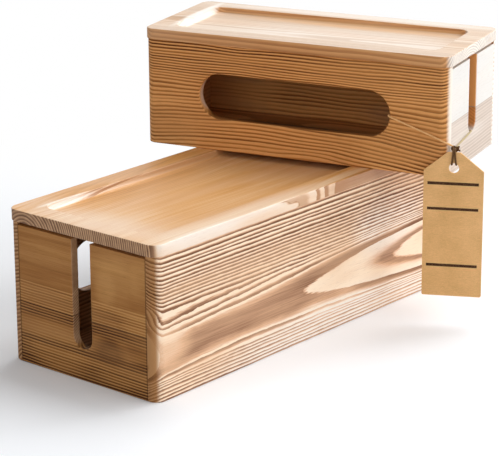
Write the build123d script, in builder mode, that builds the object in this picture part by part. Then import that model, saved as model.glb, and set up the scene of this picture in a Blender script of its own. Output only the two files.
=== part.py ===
from build123d import *

import os
from dataclasses import dataclass
from math import cos, radians, sin

# A set of two wooden cable management boxes. The large box stands on the floor with its length along X.
# The small box has the same design, and stands turned on the large box's lid, with a tag tied round its corner.
# Sizes are in millimetres and angles in degrees. The origin is the centre of the large box's underside.

# Large box: outside length and width of the walls, and their height under the lid
large_length = 400.0
large_width = 160.0
large_height = 120.0
large_corner_radius = 9.0  # upright outside corners
large_side_thickness = 10.0
large_end_thickness = 8.0
large_lid_thickness = 10.0
large_slot_width = 20.0
large_slot_floor = 27.0  # underside of the box to the bottom of the cable slot
large_oval_length = 280.0
large_oval_height = 44.0
large_oval_centre = 62.0
large_tray_margin = 20.0

# Small box
small_length = 282.0
small_width = 122.0
small_height = 94.0
small_corner_radius = 8.0
small_side_thickness = 9.0
small_end_thickness = 8.0
small_lid_thickness = 9.5
small_slot_width = 18.0
small_slot_floor = 25.0
small_oval_length = 178.0
small_oval_height = 40.0
small_oval_centre = 48.4
small_tray_margin = 19.0

# Where the small box stands on the large lid
small_from_right = 88.0  # the small box's middle, from the large box's right end
small_off_middle = 6.8  # behind the large box's middle line
small_turn = -74.7

# Shared by both boxes
rim_round = 1.2  # edges of the ovals and the slots
foot_round = 1.2  # outside bottom edges
arris_round = 0.8  # other edges that a hand meets
end_panel_drop = 2.8  # the lid rests on the long walls, and clears the end panels by this much
base_thickness = 6.0
base_lip = 4.0  # how far the base is let into the walls
base_clearance = 0.1
lid_overhang = 1.0
lid_under_round = 0.5
tray_depth = 5.5
tray_corner_radius = 12.0
tray_cove = 4.0
rail_width = 8.0
rail_depth = 6.0
rail_clearance = 1.0
rail_chamfer = 1.0

# Dowels across the butt joints
dowel_radius = 2.0
dowel_in_side = 4.0  # short, to stay clear of the rounded corner
dowel_in_end = 16.0
dowel_clearance = 0.05
dowel_end_space = 0.4
dowel_chamfer = 0.5
dowel_inset = 20.0  # top and bottom dowels, from the edges of the end panel
dowels_per_corner = 3

# Tag, hung from a knot on the small box's front right corner
tag_turn = 14.0  # between the tag's face and the small box's long side
tag_width = 50.5
tag_length = 126.5
tag_top_width = 11.0
tag_shoulder_drop = 16.0
tag_corner_round = 1.5
tag_thickness = 1.6
tag_top = 22.5  # above the small box's underside
tag_gap = 0.4
tag_hole_radius = 4.4
tag_hole_drop = 13.6

# String
string_radius = 0.65
string_gap = 0.35
knot_radius = 3.6
knot_height = 23.5
knot_bearing = 79.0  # round the box's corner, from the tag's normal
wrap_end_bearing = 71.5  # where the long side's strand meets the knot
wrap_end_height = 28.0
slot_strand_height = 20.8  # beside the knot
slot_strand_start = 2.2  # from the corner's centre, toward the slot
slot_rest_angle = 65.0  # where the strand lies on the slot's round bottom, below its centre
loop_rise = 3.3  # front strand of the loop, over the top of the tag
loop_over_bend = 1.8
loop_back_rise = 1.0
loop_sink = 0.6  # how far the loop's ends go into the knot


@dataclass
class BoxDesign:
    """Sizes of one box, and the frame it is built in: centre of its underside, length along the frame's X."""

    name: str
    frame: Plane
    length: float
    width: float
    height: float
    corner_radius: float
    side_thickness: float
    end_thickness: float
    lid_thickness: float
    slot_width: float
    slot_floor: float
    oval_length: float
    oval_height: float
    oval_centre: float
    tray_margin: float

    @property
    def inner_y(self):
        return self.width / 2 - self.side_thickness

    @property
    def inner_x(self):
        return self.length / 2 - self.end_thickness

    @property
    def end_height(self):
        return self.height - end_panel_drop

    @property
    def lid_size(self):
        return (self.length + 2 * lid_overhang, self.width + 2 * lid_overhang)

    @property
    def base_size(self):
        return (2 * (self.inner_x + base_lip), 2 * (self.inner_y + base_lip))

    @property
    def base_pocket(self):
        """The base is let into the walls; this is the pocket round it."""
        return tuple(size + 2 * base_clearance for size in self.base_size)

    @property
    def slot_centre(self):
        return self.slot_floor + self.slot_width / 2

    def point(self, x, y, z):
        """A point of the box's own frame, in the frame of the whole set."""
        return self.frame.from_local_coords((x, y, z))

    def level(self, z):
        """Horizontal sketch plane at height z."""
        return self.frame.offset(z)

    def elevation(self, y):
        """Upright sketch plane along the length, facing the front: its x is the length, its y is up."""
        return Plane(origin=self.point(0, y, 0), x_dir=self.frame.x_dir, z_dir=-self.frame.y_dir)

    def end_elevation(self, x):
        """Upright sketch plane across the width, facing the right end: its x is the width, its y is up."""
        return Plane(origin=self.point(x, 0, 0), x_dir=self.frame.y_dir, z_dir=self.frame.x_dir)

    def across(self, sign=1):
        """Axis across the width."""
        return Axis(self.frame.origin, self.frame.y_dir * sign)

    def along(self, sign=1):
        """Axis along the length."""
        return Axis(self.frame.origin, self.frame.x_dir * sign)


def dowel_rows(box):
    """Centres of the dowels on an elevation plane: both ends, evenly spaced up the end panels."""
    x = box.length / 2 - box.end_thickness / 2
    step = (box.end_height - 2 * dowel_inset) / (dowels_per_corner - 1)
    return [(sign * x, dowel_inset + row * step) for sign in (-1, 1) for row in range(dowels_per_corner)]


def finish(part, label):
    """Names a finished piece and writes its file."""
    part.label = label
    export_step(part, f"parts/{label}.step")


def build_long_wall(box, side, label, has_oval):
    """Long wall; side is -1 at the front and 1 at the back."""
    outward = box.across(side)
    with BuildPart() as wall:
        with BuildSketch(box.level(0)):
            with Locations((0, side * (box.width - box.side_thickness) / 2)):
                Rectangle(box.length, box.side_thickness)
        extrude(amount=box.height)
        fillet(wall.edges().filter_by(Axis.Z).sort_by(outward)[-2:], box.corner_radius)
        # every top and bottom edge but the inner one, which comes first along the outward axis
        fillet(wall.edges().group_by(Axis.Z)[0].sort_by(outward)[1:], foot_round)
        fillet(wall.edges().group_by(Axis.Z)[-1].sort_by(outward)[1:], arris_round)
        with BuildSketch(box.level(0)):
            Rectangle(*box.base_pocket)
        extrude(amount=base_thickness + base_clearance, mode=Mode.SUBTRACT)
        with BuildSketch(box.elevation(side * box.inner_y)):
            with Locations(*dowel_rows(box)):
                Circle(dowel_radius + dowel_clearance)
        extrude(amount=-side * (dowel_in_side + dowel_end_space), mode=Mode.SUBTRACT)
        if has_oval:
            with BuildSketch(box.elevation(side * (box.width - box.side_thickness) / 2)):
                with Locations((0, box.oval_centre)):
                    SlotOverall(box.oval_length, box.oval_height)
            extrude(amount=box.side_thickness, both=True, mode=Mode.SUBTRACT)
            rims = wall.edges(Select.LAST).filter_by(box.across(), reverse=True)
            fillet(rims, rim_round)
    finish(wall.part, label)


def build_end_panel(box, side, label):
    """End panel between the long walls, with an open-topped cable slot; side is -1 at the left."""
    outward = box.along(side)
    panel_width = 2 * box.inner_y
    middle = side * (box.length - box.end_thickness) / 2
    slot_edge = box.slot_width / 2 + rim_round / 2
    with BuildPart() as panel:
        with BuildSketch(box.level(0)):
            with Locations((middle, 0)):
                Rectangle(box.end_thickness, panel_width)
        extrude(amount=box.end_height)
        foot = panel.edges().group_by(Axis.Z)[0].filter_by(box.across()).sort_by(outward)[-1]
        fillet(foot, foot_round)
        with BuildSketch(box.level(0)):
            Rectangle(*box.base_pocket)
        extrude(amount=base_thickness + base_clearance, mode=Mode.SUBTRACT)
        for edge_side in (-1, 1):
            with BuildSketch(box.elevation(edge_side * box.inner_y)):
                with Locations(*dowel_rows(box)):
                    Circle(dowel_radius + dowel_clearance)
            extrude(amount=edge_side * (dowel_in_end + dowel_end_space), mode=Mode.SUBTRACT)
        with BuildSketch(box.end_elevation(middle)):
            with Locations((0, box.slot_centre)):
                Circle(box.slot_width / 2)
                Rectangle(box.slot_width, box.height, align=(Align.CENTER, Align.MIN))
        extrude(amount=box.end_thickness, both=True, mode=Mode.SUBTRACT)
        rims = panel.edges().filter_by(
            lambda edge: abs(box.frame.to_local_coords(edge.center()).Y) < slot_edge
            and box.frame.to_local_coords(edge.center()).Z > box.slot_floor - rim_round
        )
        fillet(rims.filter_by(box.along(), reverse=True), rim_round)
    finish(panel.part, label)


def build_base(box):
    """Base panel, flush with the underside of the walls."""
    with BuildPart() as base:
        with BuildSketch(box.level(0)):
            Rectangle(*box.base_size)
        extrude(amount=base_thickness)
    finish(base.part, f"{box.name}_base")


def build_dowels(box):
    """Hidden dowels from the long walls into the edges of the end panels."""
    length = dowel_in_side + dowel_in_end
    with BuildPart() as dowels:
        for side in (-1, 1):
            with BuildSketch(box.elevation(side * (box.inner_y + dowel_in_side))):
                with Locations(*dowel_rows(box)):
                    Circle(dowel_radius)
            extrude(amount=side * length)
        chamfer(dowels.edges().filter_by(GeomType.CIRCLE), dowel_chamfer)
    finish(dowels.part, f"{box.name}_corner_dowels")


def build_lid_board(box):
    """Lid with a routed tray: rounded corners, coved floor and softened rims."""
    lid_length, lid_width = box.lid_size
    with BuildPart() as lid:
        with BuildSketch(box.level(box.height)):
            RectangleRounded(lid_length, lid_width, box.corner_radius + lid_overhang)
        extrude(amount=box.lid_thickness)
        fillet(lid.edges().group_by(Axis.Z)[-1], arris_round)
        fillet(lid.edges().group_by(Axis.Z)[0], lid_under_round)
        with BuildSketch(box.level(box.height + box.lid_thickness)):
            RectangleRounded(
                lid_length - 2 * box.tray_margin,
                lid_width - 2 * box.tray_margin,
                tray_corner_radius,
            )
        extrude(amount=-tray_depth, mode=Mode.SUBTRACT)
        tray_edges = lid.edges(Select.LAST).filter_by(Axis.Z, reverse=True).group_by(Axis.Z)
        fillet(tray_edges[0], tray_cove)
        rim = lid.faces().sort_by(Axis.Z)[-1].inner_wires()[0].edges()
        fillet(rim, arris_round)
    finish(lid.part, f"{box.name}_lid_board")


def build_lid_rail(box, side, label):
    """Rail under the lid; it drops between the end panels, just inside a long wall."""
    middle = side * (box.inner_y - rail_clearance - rail_width / 2)
    with BuildPart() as rail:
        with BuildSketch(box.level(box.height)):
            with Locations((0, middle)):
                Rectangle(2 * (box.inner_x - rail_clearance), rail_width)
        extrude(amount=-rail_depth)
        chamfer(rail.edges().group_by(Axis.Z)[0], rail_chamfer)
    finish(rail.part, label)


def build_box(box, oval_side):
    """All the pieces of one box; oval_side is the long wall with the oval, -1 front or 1 back."""
    build_long_wall(box, -1, f"{box.name}_front_wall", oval_side == -1)
    build_long_wall(box, 1, f"{box.name}_back_wall", oval_side == 1)
    build_end_panel(box, -1, f"{box.name}_left_end")
    build_end_panel(box, 1, f"{box.name}_right_end")
    build_base(box)
    build_dowels(box)
    build_lid_board(box)
    build_lid_rail(box, -1, f"{box.name}_lid_front_rail")
    build_lid_rail(box, 1, f"{box.name}_lid_back_rail")


# The tag's frame: centre of the rounded corner at the small box's underside, x along the tag, y up, z outward
def make_tag_frame(box):
    turn = radians(tag_turn)
    return Plane(
        origin=box.point(box.length / 2 - box.corner_radius, box.corner_radius - box.width / 2, 0),
        x_dir=box.frame.x_dir * cos(turn) + box.frame.y_dir * sin(turn),
        z_dir=box.frame.x_dir * sin(turn) - box.frame.y_dir * cos(turn),
    )


def build_tag(frame, back, offset):
    """Flat tag with clipped top corners; back and offset are the hole's distances in the tag's frame."""
    shoulder = tag_top - tag_shoulder_drop
    foot = tag_top - tag_length
    outline = [
        (offset - tag_top_width / 2, tag_top),
        (offset - tag_width / 2, shoulder),
        (offset - tag_width / 2, foot),
        (offset + tag_width / 2, foot),
        (offset + tag_width / 2, shoulder),
        (offset + tag_top_width / 2, tag_top),
    ]
    with BuildPart() as tag:
        with BuildSketch(frame.offset(back)) as face:
            with BuildLine():
                Polyline(*outline, close=True)
            make_face()
            fillet(face.vertices(), tag_corner_round)
            with Locations((offset, tag_top - tag_hole_drop)):
                Circle(tag_hole_radius, mode=Mode.SUBTRACT)
        extrude(amount=tag_thickness)
    finish(tag.part, "tag")


def build_knot(centre):
    """Knot on the corner."""
    with BuildPart(Plane(origin=centre)) as knot:
        Sphere(knot_radius)
    finish(knot.part, "tag_knot")


def build_string(points, radii, label):
    """Round string along straight runs joined by arcs."""
    with BuildPart() as string:
        with BuildLine() as route:
            FilletPolyline(*points, radius=radii)
        with BuildSketch(Plane(origin=route.wire() @ 0, z_dir=route.wire() % 0)) as section:
            Circle(string_radius)
        sweep(path=route.wire())
    whole = section.sketch.area * route.wire().length
    print(label, "arc radii", [round(radius, 2) for radius in radii])
    print(label, "volume over section times length", round(string.part.volume / whole, 4))
    finish(string.part, label)


def corner_points(box, standoff, start_bearing, end_bearing, turns):
    """Route round the front right corner: a point outside each arc, then the end point, in plan.

    Bearings are from the corner's own centre, in the box's frame. Each arc has the radius of the corner
    and the standoff, so the string follows the corner at an even distance.
    """
    centre_x = box.length / 2 - box.corner_radius
    centre_y = box.corner_radius - box.width / 2
    radius = box.corner_radius + standoff
    step = (end_bearing - start_bearing) / turns
    reach = radius / cos(radians(step / 2))
    plan = []
    for turn in range(turns):
        bearing = radians(start_bearing + (turn + 0.5) * step)
        plan.append((centre_x + reach * cos(bearing), centre_y + reach * sin(bearing)))
    bearing = radians(end_bearing)
    plan.append((centre_x + radius * cos(bearing), centre_y + radius * sin(bearing)))
    return plan


def build_tag_string(box):
    """String held by the box: from the knot to the end slot, through the inside, out at the oval, to the knot."""
    standoff = string_radius + string_gap
    bend = rim_round + standoff
    end_line = box.length / 2 + standoff
    side_line = -box.width / 2 - standoff
    slot_reach = box.slot_width / 2 - standoff
    slot_y = -slot_reach * cos(radians(slot_rest_angle))
    slot_z = box.slot_centre - slot_reach * sin(radians(slot_rest_angle))
    oval_x = box.oval_length / 2 - standoff
    wrap_start = -90.0
    wrap_end = tag_turn - 90.0 + wrap_end_bearing
    wrap_turns = 2
    corner = corner_points(box, standoff, wrap_start, wrap_end, wrap_turns)
    start_y = box.corner_radius - box.width / 2 + slot_strand_start
    # the strand falls evenly from the oval to the knot
    lengths = [0.0]
    plan = [(oval_x, side_line)] + corner
    for here, there in zip(plan, plan[1:]):
        lengths.append(lengths[-1] + (Vector(*there) - Vector(*here)).length)
    fall = (box.oval_centre - wrap_end_height) / lengths[-1]
    wrapped = [(x, y, box.oval_centre - fall * run) for (x, y), run in zip(plan, lengths)]
    route = [
        (end_line, start_y, slot_strand_height),
        (end_line, slot_y, slot_z),
        (box.inner_x - standoff, slot_y, slot_z),
        (oval_x, standoff - box.inner_y, box.oval_centre),
    ] + wrapped
    radii = [bend] * (len(route) - 2 - wrap_turns) + [box.corner_radius + standoff] * wrap_turns
    build_string([box.point(*point) for point in route], radii, "tag_string")


def build_tag_loop(frame, knot, tag_back, offset):
    """Loop from the knot, over the front of the tag, through its hole and back up behind it."""
    reach = string_radius + string_gap
    front = tag_back + tag_thickness + reach
    back = tag_back - reach
    low = tag_top - tag_hole_drop + tag_hole_radius - reach
    over = Vector(offset, tag_top + loop_rise, front)
    under_front = Vector(offset, low, front)
    under_back = Vector(offset, low, back)
    behind = Vector(offset, tag_top - loop_back_rise, back)
    start = knot + (over - knot).normalized() * (knot_radius - loop_sink)
    end = knot + (behind - knot).normalized() * (knot_radius - loop_sink)
    hole_bend = 0.42 * (front - back)
    back_bend = 4 * string_radius
    points = [start, over, under_front, under_back, behind, end]
    build_string(
        [frame.from_local_coords(point) for point in points],
        [loop_over_bend, hole_bend, hole_bend, back_bend],
        "tag_string_drop",
    )


os.makedirs("parts", exist_ok=True)

large = BoxDesign(
    name="large",
    frame=Plane.XY,
    length=large_length,
    width=large_width,
    height=large_height,
    corner_radius=large_corner_radius,
    side_thickness=large_side_thickness,
    end_thickness=large_end_thickness,
    lid_thickness=large_lid_thickness,
    slot_width=large_slot_width,
    slot_floor=large_slot_floor,
    oval_length=large_oval_length,
    oval_height=large_oval_height,
    oval_centre=large_oval_centre,
    tray_margin=large_tray_margin,
)
small = BoxDesign(
    name="small",
    frame=Plane(
        origin=(large_length / 2 - small_from_right, small_off_middle, large_height + large_lid_thickness),
        x_dir=(cos(radians(small_turn)), sin(radians(small_turn)), 0),
        z_dir=(0, 0, 1),
    ),
    length=small_length,
    width=small_width,
    height=small_height,
    corner_radius=small_corner_radius,
    side_thickness=small_side_thickness,
    end_thickness=small_end_thickness,
    lid_thickness=small_lid_thickness,
    slot_width=small_slot_width,
    slot_floor=small_slot_floor,
    oval_length=small_oval_length,
    oval_height=small_oval_height,
    oval_centre=small_oval_centre,
    tray_margin=small_tray_margin,
)
build_box(large, oval_side=1)
build_box(small, oval_side=-1)

tag_frame = make_tag_frame(small)
tag_back = small.corner_radius + tag_gap
knot_reach = small.corner_radius + string_gap + knot_radius
tag_offset = knot_reach * sin(radians(knot_bearing))
knot_centre = Vector(tag_offset, knot_height, knot_reach * cos(radians(knot_bearing)))
build_tag(tag_frame, tag_back, tag_offset)
build_knot(tag_frame.from_local_coords(knot_centre))
build_tag_string(small)
build_tag_loop(tag_frame, knot_centre, tag_back, tag_offset)

# joint places, for whoever assembles the set
hole_centre = Vector(tag_offset, tag_top - tag_hole_drop, tag_back + tag_thickness / 2)
print("tie hinge at", tag_frame.from_local_coords(knot_centre), "axis", -tag_frame.x_dir)
print("tag hinge at", tag_frame.from_local_coords(hole_centre), "axis", tag_frame.z_dir)
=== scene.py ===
from math import cos, pi, radians, sin

import bmesh
import bpy
from mathutils import Matrix, Vector


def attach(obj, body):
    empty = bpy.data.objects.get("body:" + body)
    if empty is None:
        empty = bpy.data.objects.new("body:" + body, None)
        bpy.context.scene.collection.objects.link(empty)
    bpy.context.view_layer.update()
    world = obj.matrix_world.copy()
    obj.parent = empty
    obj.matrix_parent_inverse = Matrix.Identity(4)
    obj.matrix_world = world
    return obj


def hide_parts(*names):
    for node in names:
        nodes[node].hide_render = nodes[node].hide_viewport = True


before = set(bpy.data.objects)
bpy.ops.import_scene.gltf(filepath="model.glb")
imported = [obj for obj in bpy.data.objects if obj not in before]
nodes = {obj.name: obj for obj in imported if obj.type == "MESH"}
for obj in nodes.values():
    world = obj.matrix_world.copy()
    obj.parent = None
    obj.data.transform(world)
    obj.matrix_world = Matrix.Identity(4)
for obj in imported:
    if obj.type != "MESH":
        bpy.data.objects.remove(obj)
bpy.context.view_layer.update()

# places of the two boxes: centre of the underside, and the turn about the upright
largeBox = {"middle": (0.0, 0.0, 0.0), "turn": 0.0}
smallBox = {"middle": (0.112, 0.0068, 0.130), "turn": radians(-74.7)}
millimetre = 0.001
noiseShifts = (1.31, 2.17, 0.73)  # how far one step of a seed moves a noise along each axis
coatRoughness = 0.4
middleShade = 0.46  # where the middle one of three colours lies between the pale and the dark one


class Wire:
    # one socket of a material's nodes; arithmetic on wires adds Math nodes
    def __init__(self, tree, socket=None):
        self.tree = tree
        self.socket = socket

    def node(self, kind, settings=None, inputs=None, output=0):
        made = self.tree.nodes.new(kind)
        for key, value in (settings or {}).items():
            setattr(made, key, value)
        for key, value in (inputs or {}).items():
            if isinstance(value, Wire):
                self.tree.links.new(value.socket, made.inputs[key])
            elif value is not None:
                made.inputs[key].default_value = value
        return Wire(self.tree, made.outputs[output] if len(made.outputs) else None)

    def other(self, output):
        return Wire(self.tree, self.socket.node.outputs[output])

    def parts(self):
        first = self.node("ShaderNodeSeparateXYZ", inputs={"Vector": self}, output="X")
        return first, first.other("Y"), first.other("Z")

    def length(self):
        return self.node("ShaderNodeVectorMath", {"operation": "LENGTH"}, {0: self}, "Value")

    def maths(self, operation, first, second=None):
        return self.node("ShaderNodeMath", {"operation": operation}, {0: first, 1: second})

    def __add__(self, value):
        return self.maths("ADD", self, value)

    def __radd__(self, value):
        return self.maths("ADD", value, self)

    def __sub__(self, value):
        return self.maths("SUBTRACT", self, value)

    def __rsub__(self, value):
        return self.maths("SUBTRACT", value, self)

    def __mul__(self, value):
        return self.maths("MULTIPLY", self, value)

    def __rmul__(self, value):
        return self.maths("MULTIPLY", value, self)

    def __truediv__(self, value):
        return self.maths("DIVIDE", self, value)

    def __pow__(self, value):
        return self.maths("POWER", self, value)

    def __abs__(self):
        return self.maths("ABSOLUTE", self)

    def __gt__(self, value):
        return self.maths("GREATER_THAN", self, value)

    def __lt__(self, value):
        return self.maths("LESS_THAN", self, value)

    def floor(self):
        return self.maths("FLOOR", self)

    def ramp(self, *stops):
        # the colour or grey of each stop, blended from one stop to the next
        made = self.node("ShaderNodeValToRGB", inputs={"Fac": self})
        elements = made.socket.node.color_ramp.elements
        while len(elements) < len(stops):
            elements.new(0.5)
        for element, (position, colour) in zip(elements, stops):
            element.position = position
            element.color = (*colour, 1) if isinstance(colour, tuple) else (colour, colour, colour, 1)
        return made

    def curve(self, points):
        # straight lines between points, each a place and the value there
        low, high = points[0][0], points[-1][0]
        stops = [((place - low) / (high - low), value) for place, value in points]
        return ((self - low) / (high - low)).ramp(*stops)

    def rise(self, low, high):
        # 0 below low, 1 above high, smooth between
        return self.node(
            "ShaderNodeMapRange",
            {"interpolation_type": "SMOOTHSTEP"},
            {"Value": self, "From Min": low, "From Max": high},
        )

    def blend(self, factor, colour):
        # a Mix node has sockets for every kind of value, and only those for colours are used
        node = self.node("ShaderNodeMix", {"data_type": "RGBA"}, {"Factor": factor}).socket.node
        ends = [socket for socket in node.inputs if socket.type == "RGBA"]
        for socket, value in zip(ends, (self, colour)):
            if isinstance(value, Wire):
                self.tree.links.new(value.socket, socket)
            else:
                socket.default_value = (*value, 1)
        return Wire(self.tree, next(socket for socket in node.outputs if socket.type == "RGBA"))

    def noise(self, reach, seed, detail, output="Fac"):
        # noise whose features are about reach long along each axis
        placed = self.node(
            "ShaderNodeMapping",
            {"vector_type": "POINT"},
            {
                "Vector": self,
                "Location": tuple(seed * shift for shift in noiseShifts),
                "Scale": tuple(1 / size for size in reach),
            },
        )
        return self.node(
            "ShaderNodeTexNoise",
            {"noise_dimensions": "3D"},
            {"Vector": placed, "Scale": 1.0, "Detail": detail},
            output,
        )

    def nearness(self, middle, halves):
        # 1 inside a third of an ellipsoid, fading to 0 at its surface
        away = self.node(
            "ShaderNodeMapping",
            {"vector_type": "TEXTURE"},
            {"Vector": self, "Location": middle, "Scale": halves},
        )
        return 1 - away.length().rise(0.35, 1.0)


def newMaterial(name):
    material = bpy.data.materials.new(name)
    material.use_nodes = True
    material.node_tree.nodes.clear()
    return material, Wire(material.node_tree)


def measured(start, middle, turn):
    # where a surface lies, in millimetres, in a frame turned about the upright
    return start.node(
        "ShaderNodeMapping",
        {"vector_type": "TEXTURE"},
        {
            "Vector": start.node("ShaderNodeTexCoord", output="Object"),
            "Location": middle,
            "Rotation": (0, 0, turn),
            "Scale": (millimetre,) * 3,
        },
    )


def facing(start, turn):
    # how far a surface faces along the x, y and z of a frame turned about the upright
    x, y, z = start.node("ShaderNodeTexCoord", output="Normal").parts()
    return x * cos(turn) + y * sin(turn), y * cos(turn) - x * sin(turn), z


def finishMaterial(start, colour, roughness, relief, gloss, coat=0.0, reliefStrength=0.6):
    # the shader, and its output
    bump = start.node(
        "ShaderNodeBump",
        inputs={"Height": relief, "Strength": reliefStrength, "Distance": millimetre},
    )
    shader = start.node(
        "ShaderNodeBsdfPrincipled",
        inputs={
            "Base Color": colour,
            "Roughness": roughness,
            "Normal": bump,
            "Specular IOR Level": gloss,
            "Coat Weight": coat,
            "Coat Roughness": coatRoughness,
        },
    )
    start.node("ShaderNodeOutputMaterial", inputs={"Surface": shader})


def paint(thing, material):
    thing.data.materials.clear()
    thing.data.materials.append(material)


# ---- wood ----
# Growth rings are cylinders round a leaning, bowed pith line, cut by each board's own faces, so the figure on
# the sides and the arcs on the ends agree. Lengths are in millimetres in the board's frame: along the grain,
# across it, and up from the box's underside. Colours come in threes: pale, middle and dark.
plainBoard = {
    "box": largeBox,
    "grainTurn": 0.0,  # end panels run across the box
    "pith": (0.0, -60.0),  # across and up
    "lean": (0.01, 0.006),  # how far across and up the pith drifts per millimetre along the board
    "bow": (0.0, 0.0),  # and per square millimetre
    "spread": (900.0, 1000.0),  # heights above and below the pith where the drift begins to fade, and ends
    "swerve": None,  # the grain goes round something: where along, half its length, how far across and up
    "rings": ((0, 0), (200, 64)),  # radius, rings counted from the pith
    "wave": (1.6, 130.0, 45.0),  # how far the rings wander, over what length and what width
    "ripple": 0.3,  # how far they tremble
    "jag": 0.0,  # short fingers along the grain, which show where a face lies close to a ring
    # places on the way through a ring, and how dark it is there, between its dark edges
    "profile": ((0.28, 0.95), (0.46, 0.6), (0.64, 0.1), (0.92, 0.0)),
    "ringContrast": 0.5,  # how far rings differ in darkness
    "rows": ((-20, 1.0), (140, 1.0)),  # how strong the rings are at each height
    "sideRings": 1.0,  # and on the faces along the grain
    "endRings": 1.0,
    "topRings": 1.0,
    "cheekRings": 1.0,  # and inside an opening, where the surface faces along the board or up
    "glue": None,  # height of a glue line, and above it the pith's shift and how much darker the wood is
    "tone": 0.0,  # how dark the wood between the rings is
    "topTone": 0.0,  # how much darker upward faces are, used as painted shade on an opening's lower cheek
    "endTone": 0.0,  # and the ends
    "endTurn": (0.5, 0.97),  # how far a rounded corner has turned where its end colours begin, and are full
    "endFrom": None,  # where along the board the end colours begin, or None for all along it; this keeps end colours that are a painted highlight on a lit end
    "patches": (),  # place, half sizes, how much darker: the wood's own blotches, and in places painted sheen and highlight
    "paintedHighlights": (),  # painted highlights and sheen: place, half sizes, how far the pale bands turn white
    "shadeAndTone": (),  # place, half sizes, how far the wood takes on a colour, and the colour: painted shade in hollows, dark joint lines and plain darker tone
    "side": ((0.62, 0.36, 0.17), (0.45, 0.22, 0.09), (0.22, 0.09, 0.03)),
    "top": None,  # colours of upward faces, or None for those of the sides; on the lids the split between top and sides is partly painted sheen and highlight
    "end": ((0.50, 0.28, 0.13), (0.36, 0.17, 0.07), (0.16, 0.07, 0.025)),
    "tint": (0.52, 0.28, 0.15),  # a colour that comes and goes, and how strong it is
    "tinting": 0.4,
    "fibres": 0.3,  # how far each kind of mark lightens and darkens the wood
    "streaks": 0.2,
    "clouds": 0.30,
    "seed": 1.0,
    "roughness": 0.48,
    "gloss": 0.14,
    "coat": 0.03,
}

# marks in the wood: how far each reaches along, across and up, its seed beside the board's, and its detail
woodMarks = {
    "ripple": ((34, 8, 8), 5.3, 2.0),
    "jag": ((10, 1.3, 1.3), 6.6, 2.0),
    "fibre": ((46, 0.55, 0.55), 9.1, 2.0),
    "pore": ((9, 0.3, 0.3), 3.7, 1.0),
    "cloud": ((150, 26, 26), 7.7, 2.0),
    "streak": ((190, 6, 6), 4.1, 2.0),
    "tint": ((110, 22, 22), 2.9, 1.0),
}
# what all the wood has in common
anyWood = {
    "waveSwing": 4.0,  # noise of one octave strays about a quarter from its middle
    "rippleSwing": 3.0,  # and noise of two octaves about a third
    "ringEdge": 0.965,  # where in a ring the next ring's dark edge begins
    "upTurn": (0.6, 0.95),  # how far a face has turned where it begins to count as upward, and does
    "flankTurn": (0.05, 0.4),  # and as a flank
    "poreNoise": (0.62, 0.74),  # noise where a pore begins, and is full
    "poreDepth": 0.25,
    "tintNoise": (0.42, 0.68),
    "jointReach": (0.15, 0.6),  # from a glue line
    "jointDepth": 0.7,
    "relief": {"fibre": 0.05, "late": 0.06, "pore": 0.04},
    "dulling": {"late": 0.10, "end": 0.14, "fibre": 0.10},
    # the white that painted highlights turn the pale bands towards
    "paintedHighlights": (0.93, 0.89, 0.84),
}
# near-black brown for painted shade in the small box's oval and on its floor, and for the dark joint lines of
# the large end panel
shadeAndJointBrown = (0.03, 0.011, 0.004)


def threeTones(shade, tones):
    pale, middle, dark = tones
    return shade.ramp((0.0, pale), (middleShade, middle), (1.0, dark))


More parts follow.
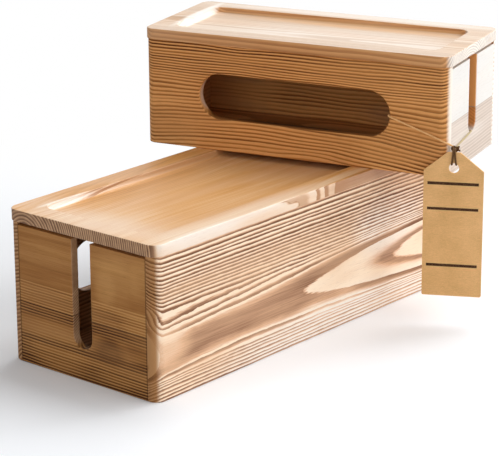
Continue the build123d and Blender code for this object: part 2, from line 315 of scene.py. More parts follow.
class Board:
    # one board's wood: its settings, and the wires that everything in its material starts from
    def __init__(self, look, start):
        self.look = look = {**plainBoard, **look}
        self.start = start
        turn = look["box"]["turn"] + look["grainTurn"]
        self.spot = measured(start, look["box"]["middle"], turn)
        self.along, self.across, self.up = self.spot.parts()
        faceAlong, faceAcross, faceUp = facing(start, turn)
        self.end = abs(faceAlong).rise(*look["endTurn"])
        self.flank = abs(faceAcross).rise(*anyWood["flankTurn"])
        self.top = faceUp.rise(*anyWood["upTurn"])
        if look["glue"]:
            self.aboveGlue = self.up > look["glue"]["up"]

    def mark(self, kind):
        reach, seed, detail = woodMarks[kind]
        return self.spot.noise(reach, self.look["seed"] + seed, detail)

    def radius(self):
        # distance from the pith line, with the grain's waviness
        look = self.look
        size, length, width = look["wave"]
        sway = self.spot.noise((length, width, width), look["seed"], 1.0, "Color").parts()
        drift = self.along * (1 - abs(self.up - look["pith"][1]).rise(*look["spread"]))
        bend = drift * self.along
        swerve, glue = look["swerve"], look["glue"]
        if swerve:
            beside = 1 - abs(self.along - swerve["along"]).rise(0, swerve["reach"])
        offsets = []
        for side, place in enumerate((self.across, self.up)):
            offset = place - drift * look["lean"][side] - bend * look["bow"][side]
            if swerve:
                offset = offset + beside * swerve["shift"][side]
            if glue:
                offset = offset - self.aboveGlue * glue["shift"][side]
            offset = offset - look["pith"][side] + (sway[side] - 0.5) * (anyWood["waveSwing"] * size)
            offsets.append(offset)
        radius = (offsets[0] * offsets[0] + offsets[1] * offsets[1]) ** 0.5
        for kind in ("ripple", "jag"):
            if look[kind]:
                radius = radius + (self.mark(kind) - 0.5) * (anyWood["rippleSwing"] * look[kind])
        return radius

    def ringStrength(self):
        look = self.look
        byFace = (
            look["sideRings"]
            + self.end * (look["endRings"] - look["sideRings"])
            + self.top * (look["topRings"] - look["sideRings"])
        )
        byFlank = look["cheekRings"] + self.flank * (1 - look["cheekRings"])
        return self.up.curve(look["rows"]) * byFace * byFlank

    def lateWood(self):
        # the dark part of each ring: one profile for all, with each ring's own strength
        look = self.look
        count = look["rings"][-1][1]
        ring = self.radius().curve([(radius, number / count) for radius, number in look["rings"]]) * count
        number = ring.floor()
        luck = self.start.node(
            "ShaderNodeTexWhiteNoise", {"noise_dimensions": "1D"}, {"W": number + look["seed"]}, "Value"
        )
        profile = ((0.0, 1.0), *look["profile"], (anyWood["ringEdge"], 0.0), (1.0, 1.0))
        return (ring - number).ramp(*profile) * (1 - look["ringContrast"] * luck) * self.ringStrength()

    def shade(self, late, fibre):
        # how dark each place is: 0 is the pale colour, and 1 the dark one
        look = self.look
        shade = late + look["tone"] + self.end * look["endTone"] + self.top * look["topTone"]
        shade = shade + (fibre - 0.5) * look["fibres"] + (self.mark("cloud") - 0.5) * look["clouds"]
        shade = shade + (self.mark("streak") - 0.5) * look["streaks"]
        if look["glue"]:
            shade = shade + self.aboveGlue * look["glue"]["darker"]
        for middle, halves, amount in look["patches"]:
            shade = shade + self.spot.nearness(middle, halves) * amount
        return shade

    def colour(self, shade, late, pores):
        look = self.look
        darkest = look["side"][2]
        colour = threeTones(shade, look["side"])
        # upward faces take their own colours, on the lids partly a painted sheen
        if look["top"]:
            colour = colour.blend(self.top, threeTones(shade, look["top"]))
        colour = colour.blend(self.mark("tint").rise(*anyWood["tintNoise"]) * look["tinting"], look["tint"])
        # painted highlights and sheen whiten the pale bands
        for middle, halves, amount in look["paintedHighlights"]:
            highlighting = self.spot.nearness(middle, halves) * amount * (1 - late)
            colour = colour.blend(highlighting, anyWood["paintedHighlights"])
        end = self.end if look["endFrom"] is None else self.end * (self.along > look["endFrom"])
        colour = colour.blend(end, threeTones(shade, look["end"]))
        # painted shade, dark joint lines and plain darker tone laid over the colour
        for middle, halves, amount, shadeAndToneColour in look["shadeAndTone"]:
            colour = colour.blend(self.spot.nearness(middle, halves) * amount, shadeAndToneColour)
        colour = colour.blend(pores * anyWood["poreDepth"], darkest)
        if look["glue"]:
            joint = 1 - abs(self.up - look["glue"]["up"]).rise(*anyWood["jointReach"])
            colour = colour.blend(joint * anyWood["jointDepth"], darkest)
        return colour


def woodMaterial(name, look):
    material, start = newMaterial(name)
    board = Board(look, start)
    relief, dulling = anyWood["relief"], anyWood["dulling"]
    fibre = board.mark("fibre")
    pores = board.mark("pore").rise(*anyWood["poreNoise"])
    late = board.lateWood()
    colour = board.colour(board.shade(late, fibre), late, pores)
    roughness = board.look["roughness"] + late * dulling["late"] + board.end * dulling["end"]
    finishMaterial(
        start,
        colour,
        roughness + (fibre - 0.5) * dulling["fibre"],
        fibre * relief["fibre"] - late * relief["late"] - pores * relief["pore"],
        board.look["gloss"],
        board.look["coat"],
    )
    return material


# Each board's colours are matched to how it looks in one light: boards on the lit side are paler, those in
# shade darker and more saturated, so part of these colours is painted light and shade.
boards = {
    "large_front_wall": {
        "pith": (-52.7, 44.4),
        "lean": (-0.045, 0.024),
        "bow": (-0.00018, -0.00008),
        "spread": (16.0, 34.0),
        "rings": (
            (0, 0), (20.3, 1), (22.6, 1.5), (28, 2), (32.8, 2.5), (33.8, 3), (37, 4), (38.9, 5), (40.8, 6),
            (43.2, 7), (45.9, 8), (48.1, 9), (50.6, 10), (53.3, 11), (55.8, 12), (58.4, 13), (61.2, 14),
            (64.7, 15), (68.3, 16), (70.9, 17), (74, 18), (78, 19), (120, 31),
        ),
        "wave": (0.45, 110.0, 40.0),
        "ripple": 0.4,
        "jag": 0.26,
        "profile": ((0.26, 0.95), (0.44, 0.6), (0.62, 0.12), (0.9, 0.0)),
        "ringContrast": 0.2,
        "rows": ((0, 1.1), (22, 1.1), (42, 1.0), (60, 1.08), (76, 1.2), (90, 1.6), (104, 1.25), (120, 1.15)),
        "endRings": 0.75,
        "endTurn": (0.42, 0.8),
        "tone": -0.09,
        "patches": (
            ((-196, -80, 42), (44, 40, 22), -0.6),
            ((-70, -80, 38), (130, 40, 30), -0.12),
            ((20, -80, 27), (56, 40, 18), -0.3),
            ((-100, -80, 92), (120, 40, 18), 0.08),
            ((60, -80, 104), (90, 40, 24), 0.10),
            ((100, -80, 6), (240, 40, 24), -0.22),
            ((92, -80, 74), (50, 40, 22), -0.16),
            ((60, -80, 30), (50, 40, 16), -0.15),
        ),
        # painted highlight: the wall turns whiter low down and at its right, with the lighter patches at
        # heights 6 and 74 above
        "paintedHighlights": (
            ((50, -80, 4), (230, 40, 34), 0.85),
            ((100, -80, 76), (64, 40, 36), 0.65),
        ),
        "side": ((0.97, 0.78, 0.59), (0.73, 0.435, 0.265), (0.19, 0.08, 0.038)),
        "end": ((0.46, 0.235, 0.095), (0.33, 0.145, 0.05), (0.10, 0.035, 0.01)),
        "tint": (0.80, 0.50, 0.30),
        "fibres": 0.5,
        "seed": 2.0,
    },
    "large_back_wall": {"pith": (40.0, -35.0), "seed": 3.0},
    "large_left_end": {
        "grainTurn": pi / 2,
        "pith": (30.0, -200.0),
        "lean": (0.0, 0.008),
        "rings": ((0, 0), (202, 40), (230, 50.3), (255, 62.8), (330, 100)),
        "wave": (0.7, 120.0, 40.0),
        "profile": ((0.34, 0.95), (0.54, 0.62), (0.72, 0.12), (0.93, 0.0)),
        "ringContrast": 0.3,
        "rows": (
            (0, 1.2), (27, 1.15), (31, 0.4), (42, 0.4), (44.5, 0.8), (52.8, 0.8), (53.2, 0.6), (72, 0.65),
            (82, 0.5), (118, 0.42),
        ),
        "glue": {"up": 53.0, "shift": (-8.0, -6.6), "darker": -0.14},
        "tone": 0.2,
        "patches": (
            ((-38, 200, 92), (34, 60, 26), -0.2),
            ((30, 200, 22), (50, 60, 30), -0.3),
            ((-45, 200, 12), (40, 60, 30), -0.12),
            ((0, 200, 6), (90, 60, 20), -0.14),
            ((-60, 200, 60), (24, 60, 14), -0.16),
            ((-62, 200, 36), (24, 60, 12), 0.2),
            ((-30, 200, 31), (22, 60, 15), 0.4),
            ((-26, 200, 84), (16, 60, 20), -0.2),
            ((-64, 200, 94), (14, 60, 30), -0.12),
            ((0, 200, 104), (110, 60, 34), -0.13),
        ),
        "shadeAndTone": (
            ((-70, 200, 58), (1.7, 30, 140), 0.6, shadeAndJointBrown),
            ((70, 200, 58), (1.7, 30, 140), 0.6, shadeAndJointBrown),
        ),
        # these dark, saturated colours are partly painted shade on this end, which faces away from the light
        "side": ((0.57, 0.29, 0.095), (0.36, 0.15, 0.038), (0.05, 0.013, 0.002)),
        "end": ((0.62, 0.38, 0.22), (0.45, 0.25, 0.13), (0.22, 0.10, 0.05)),
        "tint": (0.46, 0.22, 0.075),
        "fibres": 0.55,
        "streaks": 0.75,
        "clouds": 0.65,
        "seed": 4.0,
    },
    "large_right_end": {
        "grainTurn": pi / 2,
        "pith": (-30.0, -180.0),
        "rings": ((0, 0), (330, 120)),
        "glue": {"up": 60.0, "shift": (6.0, -5.0), "darker": -0.1},
        "seed": 5.0,
    },
    "large_base": {"pith": (20.0, -30.0), "seed": 6.0},
    "large_corner_dowels": {"grainTurn": pi / 2, "seed": 7.0},
    "large_lid_board": {
        "pith": (63.0, 124.0),
        "lean": (0.01, 0.075),
        "swerve": {"along": 78.0, "reach": 112.0, "shift": (-12.0, 0.0)},
        "rings": (
            (0, 3.7), (10, 3.9), (11, 4), (44, 15), (136.5, 56), (144.25, 57), (144.6, 57.5), (146.2, 58),
            (146.65, 58.5), (147.9, 59), (148.4, 59.5), (150.06, 60), (150.6, 60.5), (160, 60.95),
        ),
        "wave": (0.5, 120.0, 40.0),
        "sideRings": 0.9,
        "topRings": 0.2,
        "tone": 0.30,
        "endTone": 0.06,
        "patches": (
            # the lighter patches at the left end, along the front rim and edge, and at -158 on the tray's
            # back wall are painted sheen and highlight
            ((-190, 0, 128), (90, 130, 20), -0.18),
            ((-60, -78, 134), (240, 18, 10), -0.28),
            ((-150, -82, 125), (110, 6, 24), -0.22),
            ((-90, 66, 128), (170, 60, 20), 0.2),
            ((-158, 61, 127), (48, 4, 5), -0.8),
            ((40, 62, 127), (170, 4, 5), 0.45),
            ((72, -82, 125), (82, 6, 24), 0.62),
        ),
        # painted sheen along the front rim and edge and at the left end, and a painted highlight on the
        # tray's back wall
        "paintedHighlights": (
            ((-145, -81, 125), (60, 8, 14), 0.35),
            ((-110, -74, 131), (140, 22, 10), 0.2),
            ((-176, 0, 129), (40, 110, 14), 0.25),
            ((-158, 61, 127), (48, 4, 5), 0.85),
        ),
        "shadeAndTone": (((60, 61, 127), (180, 4, 5), 0.75, (0.50, 0.25, 0.09)),),
        # the near-white side colours are partly a painted highlight on the lid's lit edges
        "side": ((0.93, 0.82, 0.70), (0.84, 0.60, 0.41), (0.45, 0.22, 0.10)),
        "top": ((0.88, 0.63, 0.40), (0.68, 0.335, 0.098), (0.38, 0.16, 0.04)),
        "end": ((0.70, 0.43, 0.24), (0.43, 0.237, 0.118), (0.17, 0.075, 0.031)),
        "tint": (0.74, 0.44, 0.24),
        "fibres": 0.36,
        "streaks": 0.5,
        "seed": 8.0,
        "roughness": 0.44,
        "gloss": 0.5,
        "coat": 0.12,
    },
    "large_lid_front_rail": {"seed": 9.0},
    "large_lid_back_rail": {"seed": 10.0},
    "small_front_wall": {
        "box": smallBox,
        "pith": (-21.0, -40.0),
        "lean": (0.0, -0.02),
        "bow": (0.0, -0.0004),
        "spread": (66.0, 108.0),
        "rings": ((0, 0), (58.7, 20), (89.4, 30.9), (113.3, 39.9), (134.1, 48.4), (200, 75.5)),
        "wave": (1.7, 95.0, 26.0),
        "ripple": 0.35,
        "profile": ((0.25, 0.95), (0.43, 0.6), (0.62, 0.12), (0.9, 0.0)),
        "ringContrast": 0.4,
        "rows": ((0, 1.2), (24, 1.15), (38, 0.95), (60, 0.95), (74, 1.15), (94, 1.25)),
        "endRings": 0.2,
        "cheekRings": 0.1,
        "tone": -0.07,
        # the oval's upward lower cheek is painted in shade
        "topTone": 0.95,
        "endTurn": (0.68, 0.99),
        "endFrom": 100.0,
        "patches": (
            ((-93, -48, 48), (34, 15, 46), 0.5),
            ((-120, -61, 40), (50, 30, 60), -0.14),
            ((-20, -61, 6), (150, 30, 34), -0.27),
            ((120, -61, 50), (44, 30, 40), -0.05),
        ),
        # painted highlight on the oval's lit left cheek
        "paintedHighlights": (((-89, -54, 48), (10, 6.9, 24), 0.3),),
        # painted shade along the oval's lower cheek
        "shadeAndTone": (((0, -53.5, 27.0), (92, 7.2, 5.2), 0.95, shadeAndJointBrown),),
        "side": ((0.78, 0.38, 0.13), (0.46, 0.18, 0.044), (0.09, 0.022, 0.002)),
        # the near-white end colours, kept to the lit rounded corner by endFrom, are a painted highlight
        "end": ((0.87, 0.80, 0.71), (0.79, 0.61, 0.44), (0.40, 0.21, 0.10)),
        "tint": (0.58, 0.26, 0.08),
        "fibres": 0.5,
        "clouds": 0.45,
        "seed": 11.0,
    },
    "small_back_wall": {
        "box": smallBox,
        "pith": (50.0, -40.0),
        "rings": ((0, 0), (200, 50)),
        "wave": (2.2, 90.0, 30.0),
        "endTurn": (0.15, 0.5),
        "endFrom": 100.0,
        "patches": (((-112, 52, 34), (60, 20, 60), -0.4),),
        "side": ((0.87, 0.43, 0.145), (0.68, 0.30, 0.08), (0.28, 0.09, 0.016)),
        # the near-white end colours, kept to the lit right end by endFrom, are a painted highlight
        "end": ((0.93, 0.88, 0.81), (0.88, 0.78, 0.67), (0.66, 0.50, 0.38)),
        "seed": 12.0,
    },
    "small_left_end": {
        "box": smallBox,
        "grainTurn": pi / 2,
        "pith": (30.0, -120.0),
        "sideRings": 0.35,
        "glue": {"up": 45.0, "shift": (6.0, -7.0), "darker": 0.0},
        "side": ((0.80, 0.42, 0.16), (0.58, 0.27, 0.085), (0.26, 0.09, 0.02)),
        "seed": 13.0,
    },
    "small_right_end": {
        "box": smallBox,
        "grainTurn": pi / 2,
        "pith": (-30.0, -160.0),
        "rings": ((0, 0), (300, 125)),
        "rows": ((0, 0.3), (44.6, 0.3), (45.2, 0.08), (94, 0.05)),
        "glue": {"up": 44.8, "shift": (6.0, -9.0), "darker": -0.56},
        "tone": 0.52,
        # the near-white side colours are partly a painted highlight on this brightly lit end, and the orange
        # end grain partly painted shade in the slot
        "side": ((0.75, 0.73, 0.70), (0.70, 0.60, 0.52), (0.44, 0.34, 0.28)),
        "end": ((0.90, 0.44, 0.15), (0.84, 0.37, 0.115), (0.50, 0.19, 0.05)),
        "tint": (0.82, 0.76, 0.70),
        "clouds": 0.15,
        "seed": 14.0,
    },
    "small_base": {
        "box": smallBox,
        "pith": (30.0, -40.0),
        # painted shade on the floor inside, seen through the oval
        "shadeAndTone": (((0, 2, 6), (160, 34, 8), 0.8, shadeAndJointBrown),),
        "side": ((0.60, 0.29, 0.10), (0.46, 0.20, 0.055), (0.20, 0.065, 0.012)),
        "seed": 15.0,
    },
    "small_corner_dowels": {"box": smallBox, "grainTurn": pi / 2, "seed": 16.0},
    "small_lid_board": {
        "box": smallBox,
        "pith": (-14.0, 66.0),
        "lean": (0.014, 0.009),
        "rings": ((0, 0), (160, 66)),
        "wave": (0.9, 130.0, 45.0),
        "sideRings": 0.6,
        "topRings": 0.62,
        "endRings": 0.9,
        "tone": 0.24,
        "endFrom": -130.0,
        "patches": (
            # the lighter patches at 20 and -123 are painted highlight on the back rim and on the tray's left
            # wall
            ((30, 42, 99), (150, 17, 7), -0.06),
            ((20, 54, 104), (180, 11, 6), -0.22),
            ((-140, 0, 102), (34, 70, 10), 0.10),
            ((-123, 8, 101), (6, 66, 7), -0.9),
        ),
        # painted sheen on the tray floor and back rim, and a painted highlight on the tray's left wall
        "paintedHighlights": (
            ((30, -4, 99), (140, 44, 9), 0.35),
            ((-123, 8, 101), (7, 72, 8), 0.9),
            ((20, 55, 104), (190, 12, 6), 0.4),
        ),
        # painted shade on the tray floor along its back wall
        "shadeAndTone": (((20, 41, 97.6), (160, 17, 4), 0.65, (0.70, 0.40, 0.17)),),
        "side": ((0.74, 0.40, 0.165), (0.62, 0.295, 0.10), (0.38, 0.15, 0.04)),
        # the pale upward colours are partly a painted sheen, and the near-white end colours, kept off the
        # left end by endFrom, a painted highlight
        "top": ((0.82, 0.735, 0.64), (0.71, 0.545, 0.41), (0.46, 0.27, 0.14)),
        "end": ((0.90, 0.86, 0.80), (0.80, 0.72, 0.62), (0.55, 0.48, 0.44)),
        "tint": (0.74, 0.47, 0.28),
        "tinting": 0.3,
        "fibres": 0.36,
        "streaks": 0.4,
        "seed": 17.0,
        "roughness": 0.44,
        "gloss": 0.5,
        "coat": 0.12,
    },
    "small_lid_front_rail": {"box": smallBox, "seed": 18.0},
    "small_lid_back_rail": {"box": smallBox, "seed": 19.0},
}
for nodeName, look in boards.items():
    paint(nodes[nodeName], woodMaterial(nodeName + "Wood", look))
print("wood on", len(boards), "boards")


# ---- tag ----
# the small box's walls, in millimetres, and the centre of the rounded corner that the tag hangs at
smallWalls = {"length": 282.0, "width": 122.0, "corner": 8.0}
cornerPlace = (
    smallWalls["length"] / 2 - smallWalls["corner"],
    smallWalls["corner"] - smallWalls["width"] / 2,
)
tagCard = {
    "turn": radians(14.0),  # from the box's long side
    "front": -10.0,  # face, from the corner's centre
    "marks": {  # how far each reaches, its seed and its detail
        "fleck": ((1.1, 1.1, 0.35), 3.1, 3.0),
        "fibre": ((5.0, 5.0, 0.5), 8.2, 2.0),
        "cloud": ((18, 18, 18), 5.5, 1.0),
    },
    "shares": {"fleck": 0.5, "fibre": 0.3, "cloud": 0.4, "shift": -0.35},  # in the card's tone
    "relief": {"fleck": 0.05, "fibre": 0.04},
    "tones": ((0.0, (0.60, 0.34, 0.12)), (0.5, (0.93, 0.56, 0.255))),
    "roughness": 0.72,
    "dulling": 0.12,
    "gloss": 0.2,
    "ink": (0.045, 0.018, 0.007),
    "inkDepth": 0.3,  # behind the front face
    "wear": 0.14,  # how much of the ink the flecks have lost
    "wearNoise": (0.34, 0.52),
    "rules": ((-4.6, 2.6), (-26.8, 2.4), (-76.7, 2.5)),  # height and thickness of the printed lines
    "ruleSpan": (-10.2, 33.0),
    "edgeBlur": 0.12,
    "tipBlur": 0.15,
}


def smallPlace(x, y, z):
    # a point of the small box's frame, in millimetres, placed in the set
    turned = Matrix.Rotation(smallBox["turn"], 3, "Z") @ Vector((x, y, z))
    return turned * millimetre + Vector(smallBox["middle"])


def printedInk(spot, fleck):
    # the printed lines, on the card's front only, and a little worn
    across, depth, up = spot.parts()
    low, high = tagCard["ruleSpan"]
    edge, tip = tagCard["edgeBlur"], tagCard["tipBlur"]
    lines = sum(
        1 - abs(up - height).rise(thickness / 2 - edge, thickness / 2 + edge)
        for height, thickness in tagCard["rules"]
    )
    lines = lines * across.rise(low - tip, low + tip) * (1 - across.rise(high - tip, high + tip))
    inFront = depth < tagCard["front"] + tagCard["inkDepth"]
    return lines * inFront * (1 - tagCard["wear"] + tagCard["wear"] * fleck.rise(*tagCard["wearNoise"]))


def tagMaterial():
    material, start = newMaterial("kraftCard")
    spot = measured(start, smallPlace(*cornerPlace, 0), smallBox["turn"] + tagCard["turn"])
    marks, shares, relief = tagCard["marks"], tagCard["shares"], tagCard["relief"]
    fleck = spot.noise(*marks["fleck"])
    fibre = spot.noise(*marks["fibre"])
    cloud = spot.noise(*marks["cloud"])
    tone = fleck * shares["fleck"] + fibre * shares["fibre"] + cloud * shares["cloud"] + shares["shift"]
    card = tone.ramp(*tagCard["tones"])
    finishMaterial(
        start,
        card.blend(printedInk(spot, fleck), tagCard["ink"]),
        tagCard["roughness"] + fleck * tagCard["dulling"],
        fleck * relief["fleck"] + fibre * relief["fibre"],
        tagCard["gloss"],
    )
    return material


paint(nodes["tag"], tagMaterial())
print("card tag")


# ---- string ----
twine = {
    "plies": 3,
    "plyShare": 0.54,  # of the twine's width
    "width": 1.5 * millimetre,
    "tieWidth": 1.75 * millimetre,
    "pitch": 3.4 * millimetre,
    "step": 0.22 * millimetre,
    "bends": 14,  # points of the smooth line for each point of its route
    "order": 3,  # of the spline that smooths it
    "sides": 2,  # curve bevel resolution
    "marks": {"hair": ((0.5, 0.5, 0.22), 4.4, 3.0), "cloud": ((3.0, 3.0, 3.0), 6.1, 1.0)},
    "shares": {"hair": 0.7, "cloud": 0.3},  # in the twine's tone
    "toneLimits": (0.3, 0.62),  # tones of the shadow and the light colour
    "relief": 0.16,
    "reliefStrength": 0.8,
    "roughness": 0.8,
    "dulling": 0.1,
    "gloss": 0.15,
}
twineLook = {
    "light": (0.94, 0.58, 0.26),
    "shadow": (0.66, 0.36, 0.14),
    "greyedColour": (0.50, 0.46, 0.30),
    "greyShare": 0.8,
    "greyAcross": (-56, -48),  # across the small box, where the greying begins, and is full
}
tieLook = {"light": (0.20, 0.105, 0.045), "shadow": (0.07, 0.032, 0.014), "greyedColour": None}


def twineMaterial(name, look):
    material, start = newMaterial(name)
    spot = measured(start, smallBox["middle"], smallBox["turn"])
    hair = spot.noise(*twine["marks"]["hair"])
    cloud = spot.noise(*twine["marks"]["cloud"])
    tone = hair * twine["shares"]["hair"] + cloud * twine["shares"]["cloud"]
    dark, light = twine["toneLimits"]
    colour = tone.ramp((dark, look["shadow"]), (light, look["light"]))
    if look["greyedColour"]:
        # the strand on the box's end is greyer than the one on its long side
        across = spot.parts()[1]
        colour = colour.blend(across.rise(*look["greyAcross"]) * look["greyShare"], look["greyedColour"])
    finishMaterial(
        start,
        colour,
        twine["roughness"] + hair * twine["dulling"],
        hair * twine["relief"],
        twine["gloss"],
        reliefStrength=twine["reliefStrength"],
    )
    return material


twineSurface = twineMaterial("juteTwine", twineLook)
tieSurface = twineMaterial("darkTwine", tieLook)


def newCurve(name):
    curve = bpy.data.curves.new(name, "CURVE")
    curve.dimensions = "3D"
    return curve


def meshOf(curve):
    carrier = bpy.data.objects.new(curve.name + "Curve", curve)
    bpy.context.scene.collection.objects.link(carrier)
    bpy.context.view_layer.update()
    mesh = bpy.data.meshes.new_from_object(carrier)
    bpy.data.objects.remove(carrier)
    return mesh


def smoothLine(route, closed):
    # the points of a spline that follows a route, in order
    curve = newCurve("route")
    curve.resolution_u = twine["bends"]
    spline = curve.splines.new("NURBS")
    spline.points.add(len(route) - 1)
    for point, place in zip(spline.points, route):
        point.co = (*place, 1)
    spline.order_u = twine["order"]
    spline.use_cyclic_u = closed
    spline.use_endpoint_u = not closed
    mesh = meshOf(curve)
    line = [vertex.co.copy() for vertex in mesh.vertices]
    bpy.data.meshes.remove(mesh)
    return line


def evenly(line, step):
    # the same line, with points a step apart
    spaced = [line[0]]
    carry = 0.0
    for here, there in zip(line, line[1:]):
        length = (there - here).length
        while carry + length >= step and length > 0:
            here = here.lerp(there, (step - carry) / length)
            spaced.append(here)
            length = (there - here).length
            carry = 0.0
        carry += length
    return spaced


def layPly(curve, line, closed, turn, reach):
    # one ply: from a turn to start with, it winds round the line, as far from it as its reach
    spline = curve.splines.new("POLY")
    spline.points.add(len(line) - 1)
    spline.use_cyclic_u = closed
    guide = (line[1] - line[0]).orthogonal().normalized()
    for index, place in enumerate(line):
        ahead = (line[min(index + 1, len(line) - 1)] - line[max(index - 1, 0)]).normalized()
        guide = (guide - ahead * guide.dot(ahead)).normalized()
        angle = 2 * pi * (turn + index * twine["step"] / twine["pitch"])
        offset = Matrix.Rotation(angle, 3, ahead) @ guide
        spline.points[index].co = (*(place + offset * reach), 1)


def layTwine(name, routes, material, width=twine["width"]):
    # twisted plies laid along each route
    plyWidth = width * twine["plyShare"]
    curve = newCurve(name)
    curve.bevel_depth = plyWidth / 2
    curve.bevel_resolution = twine["sides"]
    curve.use_fill_caps = True
    for route, closed in routes:
        line = evenly(smoothLine(route, closed), twine["step"])
        for ply in range(twine["plies"]):
            layPly(curve, line, closed, ply / twine["plies"], (width - plyWidth) / 2)
    piece = bpy.data.objects.new(name, meshOf(curve))
    bpy.context.scene.collection.objects.link(piece)
    for polygon in piece.data.polygons:
        polygon.use_smooth = True
    paint(piece, material)
    return piece


# the taut string, from the knot along the end, in at the slot, out at the oval and back round the corner
tautRoute = [
    (142.4, -52.2, 21.4),
    (142.0, -47.0, 21.5),
    (142.0, -6.4, 26.4),
    (142.0, -3.4, 26.8),
    (139.0, -3.4, 26.8),
    (135.0, -3.4, 26.8),
    (132.0, -3.4, 26.8),
    (129.8, -5.8, 27.8),
    (90.2, -48.8, 47.3),
    (88.0, -51.0, 48.4),
    (88.0, -54.0, 48.4),
    (88.0, -59.0, 48.4),
    (88.0, -62.0, 48.4),
    (91.0, -62.0, 47.3),
    (131.0, -62.0, 34.2),
    (137.2, -62.0, 31.6),
    (141.4, -58.4, 28.8),
    (142.3, -54.6, 26.8),
    (143.2, -53.2, 25.6),
]
tautString = layTwine("tautString", [([smallPlace(*point) for point in tautRoute], False)], twineSurface)
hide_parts("tag_string")
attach(tautString, "small_box")


def tagPlace(across, up, out):
    # a point of the tag's frame: along it, above the small box's underside, and out from the corner's centre
    turn = tagCard["turn"]
    x = cornerPlace[0] + across * cos(turn) + out * sin(turn)
    y = cornerPlace[1] + across * sin(turn) - out * cos(turn)
    return smallPlace(x, y, up)


knot = {
    "across": 11.73,  # its middle, in the tag's frame
    "up": 23.5,
    "out": 2.6,
    "size": 1.014,  # scale of the trefoil, how deep it is for its size, and how far in front of its place
    "depth": 1.25,
    "lift": 0.35,
    "steps": 26,
    "ears": ((-2.6, 2.6, 3.2), (4.4, -0.5, 1.8), (3.8, 2.5, 1.6)),  # how far each reaches along, up and out
    "earBends": ((0.12, 0.08, 0.3), (0.4, 0.5, 0.8), (0.75, 1.0, 1.0), (1.0, 1.1, 0.9)),  # shares of that
}
# one strand of the loop through the tag's hole: sideways drift, height and how far out
loopRoute = [
    (0.5, 23.6, 3.4),
    (0.5, 24.8, 6.5),
    (0.6, 25.4, 9.0),
    (0.7, 24.6, 10.9),
    (0.8, 21.5, 11.1),
    (1.3, 15.5, 11.0),
    (1.9, 12.2, 11.0),
    (1.9, 12.0, 9.2),
    (1.8, 12.2, 7.4),
    (1.2, 16.0, 7.3),
    (0.6, 20.0, 7.2),
    (0.5, 22.5, 4.6),
]
tagLoop = layTwine(
    "tagLoop",
    [
        ([tagPlace(knot["across"] + side * drift, up, out) for drift, up, out in loopRoute], False)
        for side in (-1, 1)
    ],
    tieSurface,
    twine["tieWidth"],
)
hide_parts("tag_string_drop")
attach(tagLoop, "tag_tie")


def nearKnot(across, up, out):
    return tagPlace(knot["across"] + across, knot["up"] + up, knot["out"] + out)


def knotRoute():
    # a trefoil, drawn tight
    route = []
    for step in range(knot["steps"]):
        angle = 2 * pi * step / knot["steps"]
        across = (sin(angle) + 2 * sin(2 * angle)) * knot["size"]
        up = (cos(angle) - 2 * cos(2 * angle)) * knot["size"]
        out = -sin(3 * angle) * knot["depth"] * knot["size"]
        route.append(nearKnot(across, up, knot["lift"] + out))
    return route


def earRoute(across, up, out):
    # a loose end: it leaves the knot's middle, climbs and droops a little
    return [nearKnot(across * far, up * high, out * deep) for far, high, deep in knot["earBends"]]


tagKnot = layTwine(
    "tagKnot",
    [(knotRoute(), True), *[(earRoute(*ear), False) for ear in knot["ears"]]],
    tieSurface,
    twine["tieWidth"],
)
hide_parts("tag_knot")
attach(tagKnot, "tag_tie")
print("string, loop and knot")


# ---- floor, light and camera ----
white = (1, 1, 1, 1)
floorLook = {
    "size": 12.0,
    "colour": (0.78, 0.78, 0.78),
    "seenLift": 0.08,
    "seenColour": (0.87, 0.89, 0.92),
    "fade": (0.33, 0.62),  # from the set's middle, in metres: where it begins to turn white, and is white
}


def floorMaterial():
    # where the camera sees the floor, it turns white away from the set; for all other light it is plain
    material, start = newMaterial("paleFloor")
    plain = start.node("ShaderNodeBsdfDiffuse", inputs={"Color": (*floorLook["colour"], 1)})
    seenColour = start.node("ShaderNodeBsdfDiffuse", inputs={"Color": (*floorLook["seenColour"], 1)})
    lift = start.node("ShaderNodeEmission", inputs={"Color": white, "Strength": floorLook["seenLift"]})
    near = start.node("ShaderNodeAddShader", inputs={0: seenColour, 1: lift})
    far = start.node("ShaderNodeEmission", inputs={"Color": white, "Strength": 1.0})
    away = start.node("ShaderNodeTexCoord", output="Object").length()
    seen = start.node("ShaderNodeMixShader", inputs={0: away.rise(*floorLook["fade"]), 1: near, 2: far})
    cameraRay = start.node("ShaderNodeLightPath", output="Is Camera Ray")
    surface = start.node("ShaderNodeMixShader", inputs={0: cameraRay, 1: plain, 2: seen})
    start.node("ShaderNodeOutputMaterial", inputs={"Surface": surface})
    return material


def layFloor():
    mesh = bpy.data.meshes.new("floor")
    shape = bmesh.new()
    bmesh.ops.create_grid(shape, x_segments=1, y_segments=1, size=floorLook["size"] / 2)
    shape.to_mesh(mesh)
    shape.free()
    floor = bpy.data.objects.new("floor", mesh)
    bpy.context.scene.collection.objects.link(floor)
    paint(floor, floorMaterial())


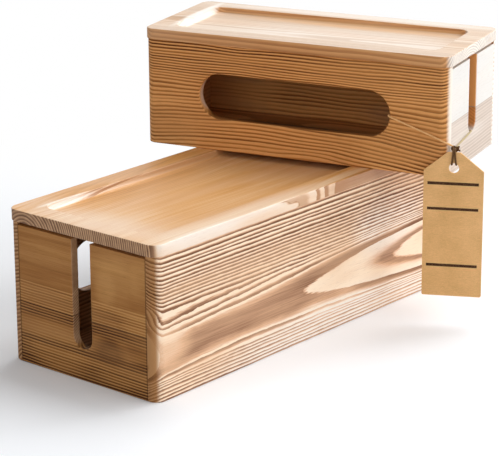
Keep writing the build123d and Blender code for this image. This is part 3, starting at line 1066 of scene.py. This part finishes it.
lamps = {
    "frontWindow": {"from": (0.95, -2.1, 1.3), "size": 2.8, "power": 46},
    "highWindow": {"from": (1.1, -0.05, 2.2), "size": 1.6, "power": 34},
    "leftFill": {"from": (-2.1, -0.9, 1.0), "size": 1.5, "power": 11},
    "rightWindow": {"from": (2.0, -0.6, 1.15), "size": 1.0, "power": 12},
}
lampTarget = Vector((0, 0, 0.1))
skyStrength = 0.27  # as light on the set; seen directly or in a reflection, the sky is white


def laySky():
    world = bpy.data.worlds.new("room")
    bpy.context.scene.world = world
    world.use_nodes = True
    world.node_tree.nodes.clear()
    start = Wire(world.node_tree)
    cameraRay = start.node("ShaderNodeLightPath", output="Is Camera Ray")
    seen = 1 - (1 - cameraRay) * (1 - cameraRay.other("Is Glossy Ray"))
    strength = skyStrength + seen * (1 - skyStrength)
    sky = start.node("ShaderNodeBackground", inputs={"Color": white, "Strength": strength})
    start.node("ShaderNodeOutputWorld", inputs={"Surface": sky})


def hangLamps():
    for name, lamp in lamps.items():
        light = bpy.data.lights.new(name, "AREA")
        light.shape = "SQUARE"
        light.size = lamp["size"]
        light.energy = lamp["power"]
        holder = bpy.data.objects.new(name, light)
        holder.location = lamp["from"]
        aim = lampTarget - Vector(lamp["from"])
        holder.rotation_euler = aim.to_track_quat("-Z", "Y").to_euler()
        bpy.context.scene.collection.objects.link(holder)


camera = {
    "place": (-1.39874, -1.19011, 0.66471),
    "turn": radians(49.734),  # from +Y towards +X
    "down": radians(17.684),
    "roll": radians(0.307),
    "focalPixels": 2255.99,
    "imageWidth": 499,
    "sensorWidth": 36,
    "farthest": 50,
}


def placeCamera():
    lens = bpy.data.cameras.new("camera")
    lens.sensor_width = camera["sensorWidth"]
    lens.lens = camera["focalPixels"] * camera["sensorWidth"] / camera["imageWidth"]
    lens.clip_end = camera["farthest"]
    holder = bpy.data.objects.new("camera", lens)
    holder.matrix_world = (
        Matrix.Translation(camera["place"])
        @ Matrix.Rotation(-camera["turn"], 4, "Z")
        @ Matrix.Rotation(pi / 2 - camera["down"], 4, "X")
        @ Matrix.Rotation(-camera["roll"], 4, "Z")
    )
    bpy.context.scene.collection.objects.link(holder)
    bpy.context.scene.camera = holder


layFloor()
laySky()
hangLamps()
placeCamera()
bpy.context.scene.view_settings.view_transform = "Standard"
print("floor, light and camera")
